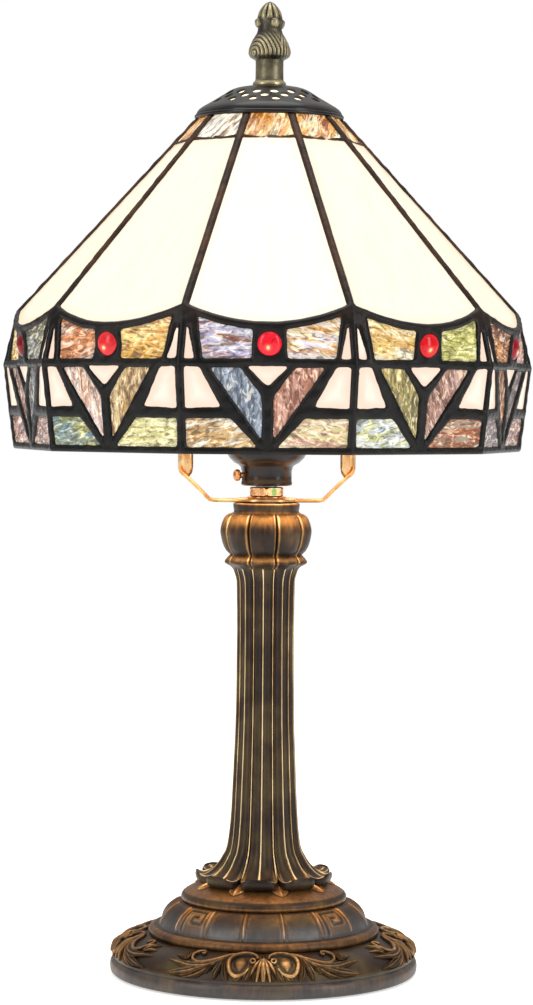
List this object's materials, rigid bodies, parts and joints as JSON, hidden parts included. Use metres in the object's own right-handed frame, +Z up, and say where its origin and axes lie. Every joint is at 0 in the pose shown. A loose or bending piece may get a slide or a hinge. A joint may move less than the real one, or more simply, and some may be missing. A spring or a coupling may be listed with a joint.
{
  "type": "stained glass table lamp",
  "caption": "Table lamp with a faceted leaded-glass shade on a harp, a fluted column with leaf mouldings and a round moulded base.",
  "frame": {"origin": "centre of the felt face that rests on the table", "axes": "+Z up along the column, -Y to the front, towards the middle of one facet of the shade"},
  "size_m": [0.2522, 0.247, 0.466],
  "materials": {
    "opal_glass": "gloss",
    "amber_glass": "gloss",
    "rippled_glass": "gloss",
    "ruby_glass": "gloss",
    "solder": "satin",
    "dark_bronze": "gloss",
    "antique_brass": "satin",
    "brass": "gloss",
    "copper": "gloss",
    "steel": "satin",
    "phenolic": "satin",
    "bulb_glass": "gloss",
    "bronzed_resin": "satin",
    "felt": "matte",
    "rubber": "matte"
  },
  "bodies": {
    "stand": {"base_casting": "bronzed_resin", "column": "bronzed_resin", "felt_pad": "felt", "foot_washer": "steel", "foot_nut": "steel", "cord_gland": "rubber", "threaded_pipe": "steel", "lock_nut": "copper", "harp_saddle": "brass", "harp": "brass", "socket_cap": "dark_bronze", "socket_shell": "phenolic"},
    "shade": {"came_frame": "solder", "vent_cap": "dark_bronze", "opal_panel_01": "opal_glass", "opal_panel_02": "opal_glass", "opal_panel_03": "opal_glass", "opal_panel_04": "opal_glass", "opal_panel_05": "opal_glass", "opal_panel_06": "opal_glass", "opal_panel_07": "opal_glass", "opal_panel_08": "opal_glass", "opal_panel_09": "opal_glass", "opal_panel_10": "opal_glass", "crown_pane_01": "amber_glass", "crown_pane_02": "amber_glass", "crown_pane_03": "amber_glass", "crown_pane_04": "amber_glass", "crown_pane_05": "amber_glass", "crown_pane_06": "amber_glass", "crown_pane_07": "amber_glass", "crown_pane_08": "amber_glass", "crown_pane_09": "amber_glass", "crown_pane_10": "amber_glass", "jewel_band_01": "rippled_glass", "jewel_band_02": "rippled_glass", "jewel_band_03": "rippled_glass", "jewel_band_04": "rippled_glass", "jewel_band_05": "rippled_glass", "jewel_band_06": "rippled_glass", "jewel_band_07": "rippled_glass", "jewel_band_08": "rippled_glass", "jewel_band_09": "rippled_glass", "jewel_band_10": "rippled_glass", "jewel_01": "ruby_glass", "jewel_02": "ruby_glass", "jewel_03": "ruby_glass", "jewel_04": "ruby_glass", "jewel_05": "ruby_glass", "jewel_06": "ruby_glass", "jewel_07": "ruby_glass", "jewel_08": "ruby_glass", "jewel_09": "ruby_glass", "jewel_10": "ruby_glass"},
    "finial": {"finial": "antique_brass"},
    "bulb": {"bulb_glass": "bulb_glass", "bulb_screw_cap": "steel"},
    "clamp_screw": {"clamp_screw": "copper"},
    "ferrule_left": {"harp_ferrule_left": "brass"},
    "ferrule_right": {"harp_ferrule_right": "brass"}
  },
  "joints": [
    {"name": "shade_swivel", "type": "hinge", "parent": "stand", "child": "shade", "pos_m": [0, 0, 0.4105], "axis": [0, 0, 1], "continuous": true},
    {"name": "finial_turn", "type": "hinge", "parent": "stand", "child": "finial", "pos_m": [0, 0, 0.4254], "axis": [0, 0, 1], "continuous": true},
    {"name": "bulb_turn", "type": "hinge", "parent": "stand", "child": "bulb", "pos_m": [0, 0, 0.262], "axis": [0, 0, 1], "continuous": true},
    {"name": "clamp_screw_turn", "type": "hinge", "parent": "stand", "child": "clamp_screw", "pos_m": [0, 0, 0.2384], "axis": [-0.9397, -0.342, 0], "continuous": true},
    {"name": "ferrule_left_slide", "type": "slide", "parent": "stand", "child": "ferrule_left", "axis": [0, 0, 1], "range_m": [0, 0.02]},
    {"name": "ferrule_right_slide", "type": "slide", "parent": "stand", "child": "ferrule_right", "axis": [0, 0, 1], "range_m": [0, 0.02]}
  ]
}
